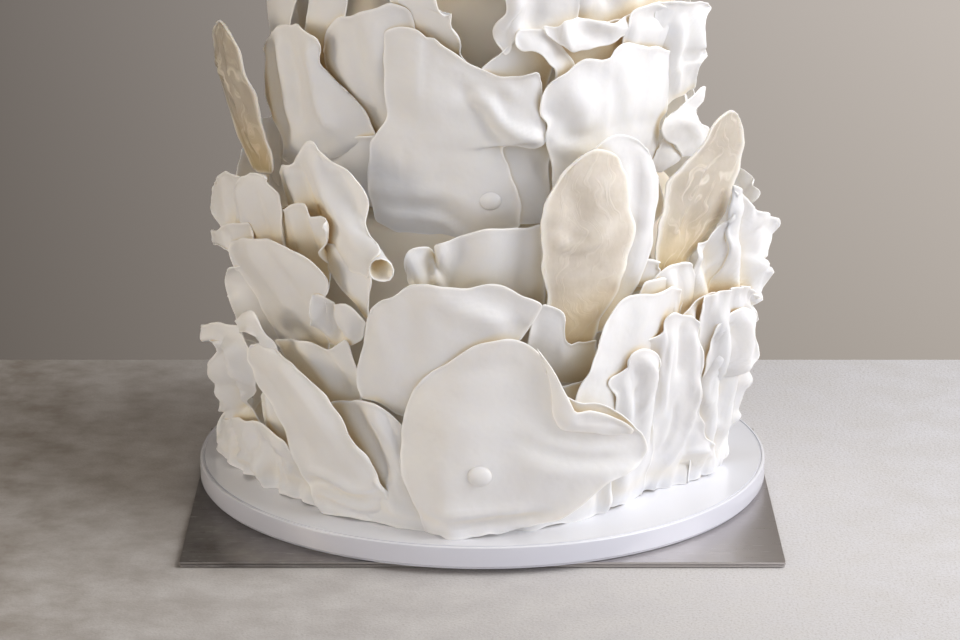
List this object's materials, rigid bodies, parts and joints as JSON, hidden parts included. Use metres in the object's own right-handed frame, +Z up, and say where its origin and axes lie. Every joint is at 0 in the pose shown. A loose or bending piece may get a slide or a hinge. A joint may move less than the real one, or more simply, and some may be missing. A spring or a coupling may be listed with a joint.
{
  "type": "tiered wedding cake",
  "caption": "Tiered wedding cake dressed in wavy white sugar-paste sheets with clear sugar shards, standing on a round drum board and a steel sheet.",
  "frame": {"origin": "on the drum's vertical axis, on the underside of the steel sheet that everything stands on", "axes": "+Z up, the front is -Y, +X to the right seen from the front"},
  "size_m": [0.3051, 0.305, 0.3163],
  "materials": {
    "sugar_paste": "rolled sugar paste, soft satin, slightly translucent at thin edges",
    "covering": "smooth sugar paste over the cake, soft matt",
    "clear_sugar": "thin cloudy sugar shard with raised veins, glossy",
    "drum": "board wrapped in white satin paper, slightly cool",
    "steel": "scratched mill-finished sheet"
  },
  "bodies": {
    "root": {"back_collar_left": "sugar_paste", "back_collar_right": "sugar_paste", "back_low_frills": "sugar_paste", "back_low_left": "sugar_paste", "back_low_middle": "sugar_paste", "back_low_right": "sugar_paste", "back_top_left": "sugar_paste", "back_top_middle": "sugar_paste", "back_top_right": "sugar_paste", "back_upper_left": "sugar_paste", "back_upper_middle": "sugar_paste", "back_upper_right": "sugar_paste", "base_band_left": "sugar_paste", "base_column_right": "sugar_paste", "base_front": "sugar_paste", "base_lobed_right": "sugar_paste", "base_skirt_front": "sugar_paste", "base_skirt_left": "sugar_paste", "base_tuck_left": "sugar_paste", "base_twist_left": "sugar_paste", "base_under_left": "sugar_paste", "bead_lower": "sugar_paste", "bead_upper": "sugar_paste", "cake_drum": "drum", "front_middle": "sugar_paste", "left_drape": "sugar_paste", "left_ear": "sugar_paste", "left_far": "sugar_paste", "left_fold": "sugar_paste", "left_heart": "sugar_paste", "left_leaf": "sugar_paste", "left_round": "sugar_paste", "left_shade": "sugar_paste", "lower_tier": "covering", "middle_back_right": "sugar_paste", "middle_front": "sugar_paste", "middle_petal_right": "sugar_paste", "middle_tuck_right": "sugar_paste", "right_fan": "sugar_paste", "right_frills_high": "sugar_paste", "right_frills_low": "sugar_paste", "shard_front": "clear_sugar", "shard_left": "clear_sugar", "shard_right": "clear_sugar", "steel_sheet": "steel", "upper_back_left": "sugar_paste", "upper_drape_right": "sugar_paste", "upper_far_left": "sugar_paste", "upper_frill_left": "sugar_paste", "upper_frills_right": "sugar_paste", "upper_front": "sugar_paste", "upper_leaf_right": "sugar_paste", "upper_left": "sugar_paste", "upper_round_left": "sugar_paste", "upper_swag": "sugar_paste", "upper_tier": "covering", "upper_top_right": "sugar_paste", "upper_tuck_left": "sugar_paste", "upper_under_front": "sugar_paste", "upper_wavy_right": "sugar_paste"}
  },
  "joints": []
}
